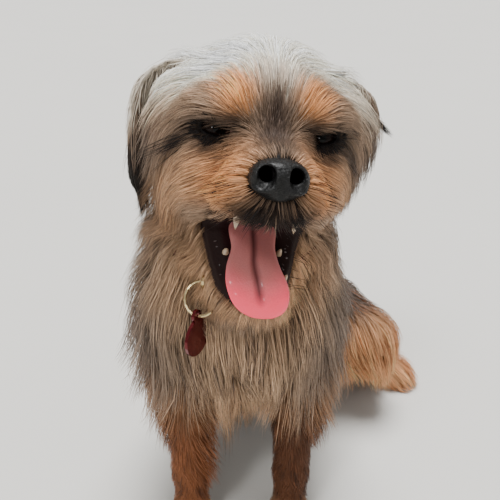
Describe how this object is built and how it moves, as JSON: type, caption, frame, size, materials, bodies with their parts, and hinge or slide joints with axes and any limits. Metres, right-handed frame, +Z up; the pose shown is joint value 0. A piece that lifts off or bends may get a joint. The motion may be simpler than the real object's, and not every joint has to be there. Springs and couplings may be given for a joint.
{
  "type": "yorkshire terrier",
  "caption": "Life-size still model of a small sitting terrier with a medium-long coat, mouth open and tongue out, wearing a collar with a blank tag.",
  "frame": {"origin": "middle of the bounding box on the floor", "axes": "+Z up; the dog faces -Y; +X is its left side"},
  "size_m": [0.2118, 0.2792, 0.2862],
  "materials": {
    "silver_blond_hair": "soft silky hair, silver blond",
    "tan_hair": "soft wiry hair, orange tan",
    "steel_hair": "soft hair, dark steel grey",
    "dark_hair": "soft hair, near black",
    "nose_leather": "moist black nose leather, fine pebbled",
    "eye_wet": "wet glossy dark brown eye",
    "tongue_flesh": "moist pink flesh",
    "collar_webbing": "woven strap, dark red",
    "ring_metal": "bright pale metal wire",
    "tag_metal": "dark red metallic enamel with a bright rim"
  },
  "bodies": {
    "root": {"head": "silver_blond_hair", "lower_jaw": "tan_hair", "tongue": "tongue_flesh", "nose": "nose_leather", "eye_left": "eye_wet", "eye_right": "eye_wet", "ear_left": "dark_hair", "ear_right": "dark_hair", "neck": "silver_blond_hair", "torso": "steel_hair", "foreleg_left": "tan_hair", "foreleg_right": "tan_hair", "hindleg_left": "tan_hair", "hindleg_right": "tan_hair", "tail": "steel_hair", "collar_band": "collar_webbing", "collar_loop": "ring_metal", "tag_ring": "ring_metal", "tag": "tag_metal"}
  },
  "joints": []
}
